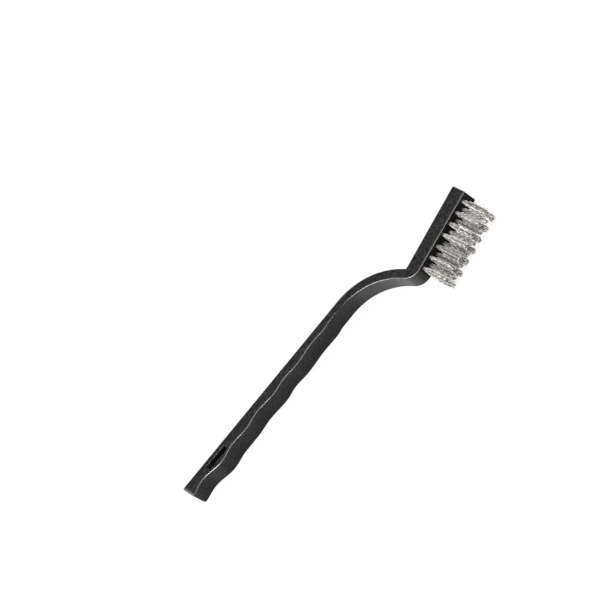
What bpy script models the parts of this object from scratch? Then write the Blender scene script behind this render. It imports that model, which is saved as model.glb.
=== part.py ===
"""Small hand wire brush: a one-piece moulded handle and head, set with tufts of steel wire.

The brush lies on one side. X runs along the handle from the butt to the head, Y from the
bristles to the back, and Z across the width. The outline is drawn in X and Y from the butt's
back corner, and the finished brush is then moved so that the middle of its underside is the
origin.
"""
import math
import random

import bmesh
import bpy
from mathutils import Matrix, Vector

MM = 0.001

# Handle bar
HANDLE_WIDTH = 10.9 * MM
BACK_LENGTH = 106.2 * MM
BUTT_DEPTH = 6.8 * MM
BUTT_RAKE = math.radians(11.0)
EDGE_RADIUS = 0.55 * MM
EDGE_SEGMENTS = 2

# Finger grip: distance from the butt and depth of the bar at each trough and crest in turn
GRIP_WAVE = (
    (9.4 * MM, 4.95 * MM),
    (21.0 * MM, 6.65 * MM),
    (30.4 * MM, 5.05 * MM),
    (38.4 * MM, 5.65 * MM),
    (47.8 * MM, 4.3 * MM),
    (58.3 * MM, 5.15 * MM),
    (66.1 * MM, 4.15 * MM),
    (74.0 * MM, 4.65 * MM),
    (85.8 * MM, 3.55 * MM),
    (93.4 * MM, 3.9 * MM),
    (100.2 * MM, 3.2 * MM),
)
WAVE_STEPS = 5

# Bent neck: its underside starts to bend a little before its back does
NECK_RADIUS = 35.7 * MM
NECK_TURN = math.radians(58.3)
NECK_DEPTH = 3.55 * MM
UNDERSIDE_LEAD = 1.3 * MM
UNDERSIDE_RADIUS = 32.5 * MM
UNDERSIDE_TURN = math.radians(57.0)
THROAT_RADIUS = 7.5 * MM
NECK_STEPS = 10
THROAT_STEPS = 6

# Head block
HEAD_LENGTH = 40.85 * MM
HEAD_TILT = math.radians(12.3)
HEAD_DEPTH_HEEL = 6.25 * MM
HEAD_DEPTH_TIP = 6.85 * MM

# Hanging slot through the bar near the butt
SLOT_START = 14.6 * MM
SLOT_LENGTH = 12.2 * MM
SLOT_WIDTH = 2.3 * MM
SLOT_DEPTH = 3.35 * MM
SLOT_CORNER = 0.4 * MM
SLOT_CORNER_STEPS = 3
SLOT_RIM = 0.3 * MM

# Tuft pattern: outer rows with a tuft at each end, inner rows set between them
ROWS = 3
TUFTS_PER_ROW = 7
SIDE_MARGIN = 2.1 * MM
TIP_MARGIN = 3.9 * MM
HEEL_MARGIN = 3.85 * MM
HOLE_DIAMETER = 1.7 * MM
HOLE_DEPTH = 4.4 * MM
HOLE_SIDES = 12
FIT_GAP = 0.1 * MM

# Wire strands of one tuft: they flare out of the hole, then run nearly straight to a crowned end
WIRE_RADIUS = 0.15 * MM
WIRE_LENGTH = 14.3 * MM
WIRE_LENGTH_SPREAD = 0.5 * MM
WIRE_CROWN = 0.8 * MM
WIRE_RINGS = (1, 6, 11)
STRAND_SIDES = 3
RING_STAGGER = 0.25
ROOT_SHARE = 0.16
ROOT_INSET = 1.2
BUNDLE_RECESS = 0.3 * MM
BUNDLE_SIDES = 8
STRAND_BITE = 0.2 * MM
FLARE_HEIGHT = 6.0 * MM
FLARE_SHARE = 0.85
TIP_GAP_ALONG = 2.1 * MM
TIP_GAP_ACROSS = 0.3 * MM
TIP_WANDER = 0.12 * MM

# Flat metal anchor that each tuft is folded round
ANCHOR_THICKNESS = 0.3 * MM
ANCHOR_HEIGHT = 1.6 * MM
ANCHOR_BITE = 0.25 * MM
FOLD_THICKNESS = 0.4 * MM

PLASTIC_COLOR = (0.027, 0.027, 0.028, 1.0)
WIRE_COLOR = (0.56, 0.54, 0.51, 1.0)
ANCHOR_COLOR = (0.45, 0.45, 0.46, 1.0)

# A cutter reaches this far past the surface that it opens
CUT_MARGIN = 1.0 * MM

# Caps are welded to the walls within this distance, and faces this near to level are one face
WELD_DISTANCE = 0.01 * MM
FLAT_ANGLE = 0.001
BEVEL_ANGLE = math.radians(40.0)


def clear_scene():
    """Remove every object of the start-up scene."""
    for old in list(bpy.data.objects):
        bpy.data.objects.remove(old, do_unlink=True)


def make_collection(name):
    """New collection under the scene."""
    collection = bpy.data.collections.new(name)
    bpy.context.scene.collection.children.link(collection)
    return collection


def make_material(name, color, roughness, metallic):
    """Principled material of one colour."""
    material = bpy.data.materials.new(name)
    material.use_nodes = True
    shader = material.node_tree.nodes["Principled BSDF"]
    shader.inputs["Base Color"].default_value = color
    shader.inputs["Roughness"].default_value = roughness
    shader.inputs["Metallic"].default_value = metallic
    material.diffuse_color = color
    return material


def add_empty(name, collection, parent, matrix):
    """Empty that carries other objects."""
    empty = bpy.data.objects.new(name, None)
    empty.parent = parent
    empty.matrix_local = matrix
    collection.objects.link(empty)
    return empty


def add_object(name, mesh, collection, parent, material=None, location=(0.0, 0.0, 0.0)):
    """Mesh object placed under a parent."""
    item = bpy.data.objects.new(name, mesh)
    item.parent = parent
    item.location = location
    collection.objects.link(item)
    if material is not None and not mesh.materials:
        mesh.materials.append(material)
    return item


def as_cutter(item):
    """Show an object as a wire guide that is left out of the finished brush."""
    item.hide_render = True
    item.display_type = "WIRE"
    return item


def add_boolean(item, operand, operation):
    """Cut or join another object."""
    boolean = item.modifiers.new(operand.name, "BOOLEAN")
    boolean.operation = operation
    boolean.solver = "EXACT"
    boolean.object = operand


def mesh_from_bmesh(name, shape):
    """Mesh data block from a bmesh, which is freed."""
    bmesh.ops.recalc_face_normals(shape, faces=shape.faces)
    mesh = bpy.data.meshes.new(name)
    shape.to_mesh(mesh)
    shape.free()
    return mesh


def arc(centre, radius, start, turn, steps):
    """Points along an arc from the angle start through the angle turn, both ends included."""
    points = []
    for i in range(steps + 1):
        angle = start + turn * i / steps
        offset = Vector((math.cos(angle), math.sin(angle))) * radius
        points.append(centre + offset)
    return points


def direction(angle):
    """Unit vector at an angle from X."""
    return Vector((math.cos(angle), math.sin(angle)))


def cross_2d(a, b):
    """Signed area between two vectors."""
    return a.x * b.y - a.y * b.x


def meeting_point(point_a, along_a, point_b, along_b):
    """Where two lines cross."""
    reach = cross_2d(point_b - point_a, along_b) / cross_2d(along_a, along_b)
    return point_a + along_a * reach


def head_corners():
    """Corners of the head block: neck corner, back of the tip and front of the tip."""
    centre = Vector((BACK_LENGTH, -NECK_RADIUS))
    neck_corner = centre + direction(math.pi / 2 - NECK_TURN) * NECK_RADIUS
    back = direction(HEAD_TILT)
    tip_back = neck_corner + back * HEAD_LENGTH
    tip_front = tip_back + Vector((back.y, -back.x)) * HEAD_DEPTH_TIP
    return neck_corner, tip_back, tip_front


def front_face_angle():
    """Direction of the tufted face, which closes on the back towards the heel."""
    return HEAD_TILT - math.atan2(HEAD_DEPTH_TIP - HEAD_DEPTH_HEEL, HEAD_LENGTH)


def grip_points():
    """Finger grip from the neck to the butt, each trough and crest blended into the next."""
    stations = [(BUTT_DEPTH * math.tan(BUTT_RAKE), BUTT_DEPTH)]
    stations.extend(GRIP_WAVE)
    stations.append((BACK_LENGTH - UNDERSIDE_LEAD, NECK_DEPTH))
    points = []
    for (start, depth), (end, next_depth) in zip(stations, stations[1:]):
        for i in range(WAVE_STEPS):
            share = i / WAVE_STEPS
            blend = (1 - math.cos(math.pi * share)) / 2
            points.append(Vector((
                start + (end - start) * share,
                -(depth + (next_depth - depth) * blend),
            )))
    points.reverse()
    return points


def throat_points(underside_end, tip_front):
    """Fillet between the underside of the neck and the tufted face."""
    down = direction(-UNDERSIDE_TURN)
    along = direction(front_face_angle())
    corner = meeting_point(underside_end, down, tip_front, along)
    turn = UNDERSIDE_TURN + front_face_angle()
    start = corner - down * THROAT_RADIUS * math.tan(turn / 2)
    centre = start + Vector((-down.y, down.x)) * THROAT_RADIUS
    start_angle = math.atan2(start.y - centre.y, start.x - centre.x)
    return arc(centre, THROAT_RADIUS, start_angle, turn, THROAT_STEPS)


def handle_outline():
    """Outline of the handle, clockwise from the butt's back corner."""
    centre = Vector((BACK_LENGTH, -NECK_RADIUS))
    _, tip_back, tip_front = head_corners()
    points = [Vector((0.0, 0.0))]
    points.extend(arc(centre, NECK_RADIUS, math.pi / 2, -NECK_TURN, NECK_STEPS))
    points.append(tip_back)
    points.append(tip_front)
    centre = Vector((BACK_LENGTH - UNDERSIDE_LEAD, -NECK_DEPTH - UNDERSIDE_RADIUS))
    underside = arc(centre, UNDERSIDE_RADIUS, math.pi / 2, -UNDERSIDE_TURN, NECK_STEPS)
    points.extend(reversed(throat_points(underside[-1], tip_front)))
    points.extend(reversed(underside))
    points.extend(grip_points())
    return points


def slot_ring(height, growth):
    """Outline of the hanging slot at a height, with round corners, grown by a rim."""
    low = Vector((SLOT_START + SLOT_CORNER, -SLOT_DEPTH - SLOT_WIDTH / 2 + SLOT_CORNER))
    high = Vector((
        SLOT_START + SLOT_LENGTH - SLOT_CORNER,
        -SLOT_DEPTH + SLOT_WIDTH / 2 - SLOT_CORNER,
    ))
    centres = (high, Vector((low.x, high.y)), low, Vector((high.x, low.y)))
    ring = []
    for quarter, centre in enumerate(centres):
        start = quarter * math.pi / 2
        corner = arc(centre, SLOT_CORNER + growth, start, math.pi / 2, SLOT_CORNER_STEPS)
        ring.extend(Vector((point.x, point.y, height)) for point in corner)
    return ring


def slot_cutter_mesh():
    """Slot right through the bar, opening out in a narrow bevelled rim at both faces."""
    rings = (
        slot_ring(-CUT_MARGIN, SLOT_RIM),
        slot_ring(0.0, SLOT_RIM),
        slot_ring(SLOT_RIM, 0.0),
        slot_ring(HANDLE_WIDTH - SLOT_RIM, 0.0),
        slot_ring(HANDLE_WIDTH, SLOT_RIM),
        slot_ring(HANDLE_WIDTH + CUT_MARGIN, SLOT_RIM),
    )
    shape = bmesh.new()
    loops = [[shape.verts.new(point) for point in ring] for ring in rings]
    shape.faces.new(loops[0])
    shape.faces.new(loops[-1])
    for lower, upper in zip(loops, loops[1:]):
        count = len(lower)
        for i in range(count):
            after = (i + 1) % count
            shape.faces.new((lower[i], lower[after], upper[after], upper[i]))
    return mesh_from_bmesh("hanging_slot", shape)


def add_outline(curve, points):
    """Closed outline made of straight runs between points."""
    spline = curve.splines.new("POLY")
    spline.points.add(len(points) - 1)
    for target, point in zip(spline.points, points):
        target.co = (point.x, point.y, 0.0, 1.0)
    spline.use_cyclic_u = True


def make_handle(collection, cutters, root, material):
    """Handle and head in one moulding, before the tuft holes are cut."""
    curve = bpy.data.curves.new("handle_outline", "CURVE")
    curve.dimensions = "2D"
    curve.fill_mode = "BOTH"
    curve.extrude = HANDLE_WIDTH / 2
    add_outline(curve, handle_outline())
    outline = bpy.data.objects.new("handle_outline", curve)
    outline.parent = root
    outline.location = (0.0, 0.0, HANDLE_WIDTH / 2)
    collection.objects.link(outline)
    bpy.context.view_layer.update()

    depsgraph = bpy.context.evaluated_depsgraph_get()
    mesh = bpy.data.meshes.new_from_object(outline.evaluated_get(depsgraph))
    shape = bmesh.new()
    shape.from_mesh(mesh)
    bmesh.ops.remove_doubles(shape, verts=shape.verts, dist=WELD_DISTANCE)
    bmesh.ops.dissolve_limit(shape, angle_limit=FLAT_ANGLE, verts=shape.verts, edges=shape.edges)
    bmesh.ops.recalc_face_normals(shape, faces=shape.faces)
    shape.to_mesh(mesh)
    shape.free()
    mesh.name = "handle"
    mesh.shade_smooth()
    mesh.set_sharp_from_angle(angle=BEVEL_ANGLE)
    handle = add_object("handle", mesh, collection, root, material)
    handle.matrix_world = outline.matrix_world
    bpy.data.objects.remove(outline, do_unlink=True)

    bevel = handle.modifiers.new("rounded_edges", "BEVEL")
    bevel.width = EDGE_RADIUS
    bevel.segments = EDGE_SEGMENTS
    bevel.limit_method = "ANGLE"
    bevel.angle_limit = BEVEL_ANGLE

    slot = as_cutter(add_object("hanging_slot", slot_cutter_mesh(), cutters, root))
    add_boolean(handle, slot, "DIFFERENCE")
    return handle


def tuft_places():
    """Row, number and place of every tuft, and the pitch along a row and between rows."""
    first = TIP_MARGIN
    last = HEAD_LENGTH - HEEL_MARGIN
    pitch = (last - first) / (TUFTS_PER_ROW - 1)
    row_pitch = (HANDLE_WIDTH - 2 * SIDE_MARGIN) / (ROWS - 1)
    places = []
    for row in range(ROWS):
        between = row % 2
        for number in range(TUFTS_PER_ROW - between):
            back = first + pitch * (number + between / 2)
            places.append((row, number, Vector((-back, SIDE_MARGIN + row * row_pitch, 0.0))))
    return places, pitch, row_pitch


def cylinder(shape, radius, low, high, sides, centre=(0.0, 0.0)):
    """Upright cylinder between two heights."""
    matrix = Matrix.Translation((centre[0], centre[1], (low + high) / 2))
    bmesh.ops.create_cone(
        shape, cap_ends=True, segments=sides, radius1=radius, radius2=radius,
        depth=high - low, matrix=matrix,
    )


def block(shape, size, low_middle):
    """Box of a given size standing on the middle of its lowest face."""
    centre = Vector(low_middle) + Vector((0.0, 0.0, size[2] / 2))
    matrix = Matrix.Translation(centre) @ Matrix.Diagonal((*size, 1.0))
    bmesh.ops.create_cube(shape, size=1.0, matrix=matrix)


def anchor_size(gap):
    """Anchor along the head, across it and up the hole, grown by a gap on every side."""
    return (
        HOLE_DIAMETER + 2 * ANCHOR_BITE + 2 * gap,
        ANCHOR_THICKNESS + 2 * gap,
        ANCHOR_HEIGHT + 2 * gap,
    )


def anchor_foot():
    """Height of the anchor's lower edge below the tufted face: one fold of wire above the bottom."""
    return -HOLE_DEPTH + FIT_GAP + FOLD_THICKNESS + FIT_GAP


def hole_cutter_mesh(places):
    """All the round tuft holes."""
    shape = bmesh.new()
    for _, _, place in places:
        cylinder(shape, HOLE_DIAMETER / 2, -HOLE_DEPTH, CUT_MARGIN, HOLE_SIDES, place[:2])
    return mesh_from_bmesh("tuft_holes", shape)


def pocket_cutter_mesh(places):
    """The slits that the anchors bite into the walls of their holes."""
    shape = bmesh.new()
    for _, _, place in places:
        foot = (place.x, place.y, anchor_foot() - FIT_GAP)
        block(shape, anchor_size(FIT_GAP), foot)
    return mesh_from_bmesh("anchor_pockets", shape)


def ring_places():
    """Places of the wires in a tight round bundle, as shares of the outer ring's radius."""
    places = []
    for ring, count in enumerate(WIRE_RINGS):
        radius = ring / (len(WIRE_RINGS) - 1)
        for i in range(count):
            angle = 2 * math.pi * (i + ring * RING_STAGGER) / count
            places.append(direction(angle) * radius)
    return places


def add_strand(shape, stations, turn):
    """Straight-sided wire through stations of a point and a radius each."""
    first, radius = stations[0]
    matrix = Matrix.Translation(first) @ Matrix.Rotation(turn, 4, "Z")
    made = bmesh.ops.create_circle(
        shape, cap_ends=True, segments=STRAND_SIDES, radius=radius, matrix=matrix,
    )
    faces = list({face for vert in made["verts"] for face in vert.link_faces})
    for (point, radius), (next_point, next_radius) in zip(stations, stations[1:]):
        edges = list({edge for face in faces for edge in face.edges})
        grown = bmesh.ops.extrude_face_region(shape, geom=faces + edges)
        verts = [item for item in grown["geom"] if isinstance(item, bmesh.types.BMVert)]
        growth = next_radius / radius
        for vert in verts:
            vert.co = next_point + (vert.co - point) * growth
        faces = [item for item in grown["geom"] if isinstance(item, bmesh.types.BMFace)]


def bundle_radius():
    """Radius of the packed wires, which clear the wall of their hole."""
    return HOLE_DIAMETER / 2 - FIT_GAP


def strand_mesh(name, dice, tip_reach):
    """All the wires of one tuft, which leave the bundle close together and flare apart."""
    shape = bmesh.new()
    root_radius = bundle_radius() * ROOT_SHARE
    ring_radius = bundle_radius() - ROOT_INSET * root_radius
    start = -BUNDLE_RECESS - STRAND_BITE
    for place in ring_places():
        wander = Vector((dice.uniform(-1, 1), dice.uniform(-1, 1))) * TIP_WANDER
        tip = Vector((place.x * tip_reach[0], place.y * tip_reach[1])) + wander
        root = place * ring_radius
        flare = root.lerp(tip, FLARE_SHARE)
        crowned = WIRE_LENGTH - WIRE_CROWN * place.length_squared
        length = crowned + dice.uniform(-1, 1) * WIRE_LENGTH_SPREAD
        stations = (
            (Vector((root.x, root.y, start)), root_radius),
            (Vector((flare.x, flare.y, FLARE_HEIGHT)), WIRE_RADIUS),
            (Vector((tip.x, tip.y, length)), WIRE_RADIUS),
        )
        add_strand(shape, stations, dice.uniform(0, 2 * math.pi))
    return mesh_from_bmesh(name, shape)


def bundle_mesh():
    """Packed wires in the hole: the slice that the strands of a tuft stand on."""
    shape = bmesh.new()
    cylinder(shape, bundle_radius(), -HOLE_DEPTH + FIT_GAP, -BUNDLE_RECESS, BUNDLE_SIDES)
    return mesh_from_bmesh("wire_bundle", shape)


def window_mesh():
    """Opening under the bend of the folded wires, where the anchor passes through."""
    shape = bmesh.new()
    block(shape, anchor_size(FIT_GAP), (0.0, 0.0, anchor_foot() - FIT_GAP))
    return mesh_from_bmesh("anchor_window", shape)


def anchor_mesh():
    """Flat metal strip."""
    shape = bmesh.new()
    block(shape, anchor_size(0.0), (0.0, 0.0, anchor_foot()))
    return mesh_from_bmesh("anchor", shape)


def make_tufts(parts, cutters, head, handle, wire, zinc):
    """Tufts, their anchors, and the holes that hold both."""
    places, pitch, row_pitch = tuft_places()
    holes = as_cutter(add_object("tuft_holes", hole_cutter_mesh(places), cutters, head))
    pockets = as_cutter(add_object("anchor_pockets", pocket_cutter_mesh(places), cutters, head))
    add_boolean(handle, holes, "DIFFERENCE")
    add_boolean(handle, pockets, "DIFFERENCE")

    reach = (
        (pitch - TIP_GAP_ALONG) / 2 - WIRE_RADIUS - TIP_WANDER,
        (row_pitch - TIP_GAP_ACROSS) / 2 - WIRE_RADIUS - TIP_WANDER,
    )
    bundle = bundle_mesh()
    window = window_mesh()
    strip = anchor_mesh()
    for row, number, place in places:
        tag = f"{'abc'[row]}{number + 1}"
        dice = random.Random(100 * row + number)
        strands = as_cutter(add_object(
            f"strands_{tag}", strand_mesh(f"strands_{tag}", dice, reach), cutters, head,
            location=place,
        ))
        gap = as_cutter(add_object(f"window_{tag}", window, cutters, head, location=place))
        tuft = add_object(f"tuft_{tag}", bundle, parts, head, wire, place)
        add_boolean(tuft, strands, "UNION")
        add_boolean(tuft, gap, "DIFFERENCE")
        add_object(f"anchor_{tag}", strip, parts, head, zinc, place)


def centre_brush(root, parts):
    """Put the middle of the underside at the origin."""
    bpy.context.view_layer.update()
    depsgraph = bpy.context.evaluated_depsgraph_get()
    corners = []
    for item in parts.objects:
        if item.type != "MESH":
            continue
        shaped = item.evaluated_get(depsgraph)
        mesh = shaped.to_mesh()
        corners.extend(item.matrix_world @ vert.co for vert in mesh.vertices)
        shaped.to_mesh_clear()
    low = Vector([min(corner[axis] for corner in corners) for axis in range(3)])
    high = Vector([max(corner[axis] for corner in corners) for axis in range(3)])
    middle = (low + high) / 2
    root.location = (-middle.x, -middle.y, -low.z)


def main():
    clear_scene()
    parts = make_collection("wire_brush")
    cutters = make_collection("cutters")
    plastic = make_material("black_plastic", PLASTIC_COLOR, 0.42, 0.0)
    wire = make_material("steel_wire", WIRE_COLOR, 0.35, 1.0)
    zinc = make_material("anchor_strip", ANCHOR_COLOR, 0.45, 1.0)

    root = add_empty("brush_frame", parts, None, Matrix.Identity(4))
    handle = make_handle(parts, cutters, root, plastic)

    _, _, tip_front = head_corners()
    along = direction(front_face_angle())
    axes = Matrix((
        (along.x, 0.0, along.y, tip_front.x),
        (along.y, 0.0, -along.x, tip_front.y),
        (0.0, 1.0, 0.0, 0.0),
        (0.0, 0.0, 0.0, 1.0),
    ))
    head = add_empty("head_frame", parts, root, axes)
    make_tufts(parts, cutters, head, handle, wire, zinc)
    centre_brush(root, parts)


main()
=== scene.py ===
"""Looks of a small hand wire brush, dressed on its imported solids.

The brush lies on one side. X runs along the handle from the butt to the head, Y from the
bristles to the back, and Z across the width. The handle is drawn once more in finer steps,
every tuft gets its crimped wires, and the anchor strips keep their solids under a new finish.
"""
import math
import random

import bmesh
import bpy
from bpy.props import FloatProperty, FloatVectorProperty, PointerProperty
from mathutils import Matrix, Vector


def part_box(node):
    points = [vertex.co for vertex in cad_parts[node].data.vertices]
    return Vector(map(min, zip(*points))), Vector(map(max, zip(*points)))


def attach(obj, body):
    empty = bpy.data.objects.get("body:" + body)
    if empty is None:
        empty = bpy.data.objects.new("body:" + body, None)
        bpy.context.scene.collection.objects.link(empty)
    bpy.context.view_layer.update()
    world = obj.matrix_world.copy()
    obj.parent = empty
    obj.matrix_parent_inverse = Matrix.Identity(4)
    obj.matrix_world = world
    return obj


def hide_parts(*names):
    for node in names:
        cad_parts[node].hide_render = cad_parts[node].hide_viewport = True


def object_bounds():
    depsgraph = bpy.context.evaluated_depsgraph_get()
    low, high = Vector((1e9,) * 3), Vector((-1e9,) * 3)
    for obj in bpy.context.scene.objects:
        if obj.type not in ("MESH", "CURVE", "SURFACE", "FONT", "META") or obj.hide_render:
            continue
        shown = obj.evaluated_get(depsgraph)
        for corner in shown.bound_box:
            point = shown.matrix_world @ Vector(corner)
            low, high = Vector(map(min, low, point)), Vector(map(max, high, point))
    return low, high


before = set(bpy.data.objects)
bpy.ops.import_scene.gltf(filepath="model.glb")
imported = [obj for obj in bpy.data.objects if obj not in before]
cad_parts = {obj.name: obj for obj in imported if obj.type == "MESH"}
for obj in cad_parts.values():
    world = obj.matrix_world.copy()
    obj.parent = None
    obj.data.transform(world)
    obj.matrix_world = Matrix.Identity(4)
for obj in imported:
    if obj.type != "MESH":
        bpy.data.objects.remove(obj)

bl_info = {
    "name": "Wire Brush",
    "version": (1, 0, 0),
    "blender": (4, 5, 0),
    "location": "View3D > Sidebar > Wire Brush",
    "description": "Dresses a small hand wire brush: handle, wire tufts, anchor strips and studio",
    "category": "Object",
}

CAD_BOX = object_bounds()
MM = 0.001
BODY = "root"

# Handle bar, as its solid is drawn
HANDLE_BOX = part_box("handle")
HANDLE_WIDTH = HANDLE_BOX[1].z - HANDLE_BOX[0].z
BACK_LENGTH = 106.2 * MM
BUTT_DEPTH = 6.8 * MM
BUTT_RAKE = math.radians(11.0)
EDGE_RADIUS = 2.0 * MM
EDGE_STEPS = 8
CORNER_ANGLE = math.radians(40.0)
SMOOTH_ANGLE = math.radians(30.0)

# Radius of each edge as a share of the widest one, which runs across the butt
GRIP_SHARE = 0.4
BACK_SHARE = 0.28
CORNER_SHARE = 0.17
TIP_CORNER_SHARE = 0.4

# Where the grip's edge is crisper or fuller: place, half length and change of its share
EDGE_CHANGES = (
    (16.0 * MM, 6.0 * MM, 0.2),
    (104.5 * MM, 7.0 * MM, -0.37),
)

# Polished band on the rounded edges: how level its surface lies, and how far that may differ
POLISH_LEVEL = 0.57
POLISH_RANGE = 0.15
BUTT_POLISH_LEVEL = 0.55
BUTT_POLISH_RANGE = 0.42
BUTT_POLISH_SHARE = 0.42
BUTT_POLISH_LENGTH = 2.5 * MM
POLISH_IOR = 2.0
POLISH_ROUGHNESS = 0.2

# The long edges are less polished near the butt: distances from it, and the share there
WORN_START = (2.5 * MM, 11.0 * MM)
WORN_SHARE = 0.45

# Polish on the walls that turn to the butt: how far they turn, and its share
NECK_POLISH_TURN = (0.12, 0.32)
NECK_POLISH_SHARE = 0.18

# Painted shade: how much of the plastic's colour it takes low on the walls and in the pits,
# and how much duller the pits are. The pits are the slot and the tufted face, which is known
# by how little its surface turns from straight out of the head
WALL_PAINTED_SHADE = 0.7
PIT_PAINTED_SHADE = 0.75
PIT_DULLNESS = 0.4
PIT_MARGIN = 0.03 * MM
FACE_SPREAD = math.radians(20.0)

# Gloss of the bare plastic, and the heights of the fine grain between which flecks turn light
PLASTIC_SPECULAR = 0.125
FLECK_RANGE = (0.35, 0.65)

# Finger grip: distance from the butt, depth of the bar at its high face, and how much deeper it
# is at its low face, at each trough and crest in turn
GRIP_WAVE = (
    (9.4 * MM, 4.95 * MM, 0.8 * MM),
    (21.0 * MM, 6.65 * MM, 0.85 * MM),
    (30.4 * MM, 5.05 * MM, 1.15 * MM),
    (38.4 * MM, 5.65 * MM, 0.5 * MM),
    (47.8 * MM, 4.3 * MM, 1.0 * MM),
    (58.3 * MM, 5.15 * MM, 0.65 * MM),
    (66.1 * MM, 4.15 * MM, 0.6 * MM),
    (74.0 * MM, 4.65 * MM, 0.6 * MM),
    (85.8 * MM, 3.55 * MM, 0.95 * MM),
    (93.4 * MM, 3.9 * MM, 0.7 * MM),
    (100.2 * MM, 3.2 * MM, 0.5 * MM),
)
WAVE_STEPS = 14

# The lean of the grip's wall takes along what lies less than this inside its upright outline
LEAN_REACH = 1.3 * MM

# Bent neck: its underside starts to bend a little before its back does
NECK_RADIUS = 35.7 * MM
NECK_TURN = math.radians(58.3)
NECK_DEPTH = 3.55 * MM
UNDERSIDE_LEAD = 1.3 * MM
UNDERSIDE_RADIUS = 32.5 * MM
UNDERSIDE_TURN = math.radians(57.0)
THROAT_RADIUS = 7.5 * MM
NECK_STEPS = 48
THROAT_STEPS = 24

# Head block
HEAD_LENGTH = 40.85 * MM
HEAD_TILT = math.radians(12.3)
HEAD_DEPTH_HEEL = 6.25 * MM
HEAD_DEPTH_TIP = 6.85 * MM

# Hanging slot through the bar near the butt
SLOT_START = 14.6 * MM
SLOT_LENGTH = 12.2 * MM
SLOT_WIDTH = 2.3 * MM
SLOT_DEPTH = 3.35 * MM
SLOT_CORNER = 0.4 * MM
SLOT_RIM = 0.25 * MM
SLOT_STEPS = 6

# Tuft holes, and the anchor strips that are driven across them
ROWS = "abc"
HOLE_DIAMETER = 1.7 * MM
HOLE_DEPTH = 4.4 * MM
HOLE_SIDES = 28
FIT_GAP = 0.1 * MM
FOLD_THICKNESS = 0.4 * MM
ANCHOR_SIZE = (2.2 * MM, 0.3 * MM, 1.6 * MM)
ANCHOR_FOOT = -HOLE_DEPTH + FIT_GAP + FOLD_THICKNESS + FIT_GAP
CUT_MARGIN = 1.0 * MM
CUT_OVERLAP = 0.01 * MM

# Wires of one tuft: rings of a packed bundle, flared above the head and crowned at the tips
WIRE_RINGS = (1, 6, 12)
WIRE_SIDES = 8
WIRE_STEP = 0.35 * MM
BUNDLE_RADIUS = HOLE_DIAMETER / 2 - FIT_GAP
BUNDLE_TOP = -1.9 * MM
BUNDLE_SIDES = 24
WIRE_START = BUNDLE_TOP - 0.1 * MM
MOUTH_SPREAD = 0.06 * MM
MOUTH_LENGTH = 1.2 * MM
WIRE_LENGTH = 14.17 * MM
MIDDLE_ROW = "b"
MIDDLE_ROW_EXTRA = 0.45 * MM
WIRE_CROWN = 0.3 * MM
FLARE_LENGTH = 4.2 * MM
FLARE_POWER = 2.2
BELLY = 0.4
TIP_REACH_ALONG = 1.2 * MM
TIP_REACH_ACROSS = 1.17 * MM
TIP_WANDER = 0.26 * MM
TIP_SWERVE = 0.25
CRIMP_START = 2.5 * MM
END_CUT = 0.5
WIRE_SHARP_ANGLE = math.radians(75.0)

# Shares of the set crimp length and height between which each wire's own are drawn
CRIMP_LENGTHS = (0.85, 1.15)
CRIMP_HEIGHTS = (0.7, 1.25)

# What each point of a wire carries for its material: distance from the head in mm, share of the
# way round, the wire's own tone, and the darkening of its cut end
WIRE_FIELDS = ("wire_along", "wire_around", "wire_tone", "wire_cut")

# Tone along each wire, by the distance from the head in mm: painted shade darkens the root
# where it enters the head, and a painted highlight lightens the cut end
ROOT_PAINTED_SHADE = (0.2, 1.7)
ROOT_TONE = (0.12, 1.0)
CUT_PAINTED_HIGHLIGHT = (13.2, 13.8)
CUT_TONE = (1.0, 1.3)

# Tone of the darkest and brightest wire, the swing of tone along the drawn lines, how far these
# are shifted from wire to wire, the fade away from the head, and the least tone that is left
WIRE_TONE = (0.2, 1.3)
STREAK_TONE = 1.4
LINE_SHIFT = 90.0
FADE_START = 1.1
FADE_PER_MM = 0.012
LEAST_TONE = 0.05

# Finish of the metals
WIRE_METALLIC = 0.62
CUT_DULLNESS = 0.25
WIRE_LINE_DEPTH = 0.01 * MM
STRIP_LINE_DEPTH = 0.008 * MM

# Darkening of the cut ends, which is deepest round one spot of each tuft
DARK_END_PLACE = 0.3
DARK_END_REACH = 0.9
DARK_END_LENGTH = (0.1, 1.4)
DARK_END_DEPTH = (0.05, 1.0)

# Camera at the viewing angle of the photograph, which is 600 by 600
CAMERA_TARGET = Vector((5.8815, 37.8560, 5.45)) * MM
CAMERA_DISTANCE = 1311.548 * MM
CAMERA_AZIMUTH = math.radians(8.6541)
CAMERA_ELEVATION = math.radians(53.8388)
CAMERA_ROLL = math.radians(-57.6033)
CAMERA_LENS = 180.0
CAMERA_SENSOR = 36.0
CAMERA_CLIP = (0.1, 20.0)

# Room and floor
WHITE = (1.0, 1.0, 1.0, 1.0)
FLOOR_SPECULAR = 0.2

# Lamps: azimuth and elevation in degrees, width, height, and the setting of their brightness
LAMP_DISTANCE = 3.0
LAMPS = (
    ("front_strip", -84, 15, 2.5, 0.4, "front_light"),
    ("corner_strip", -129, 15, 2.3, 0.4, "left_light"),
    ("left_strip", -165, 14, 2.2, 0.4, "left_light"),
    ("main_softbox", -80, 70, 1.6, 1.6, "main_light"),
    ("back_left_softbox", 152, 17, 0.9, 1.2, "back_light"),
    ("back_right_softbox", 49, 17, 0.9, 1.2, "back_light"),
)


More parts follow.
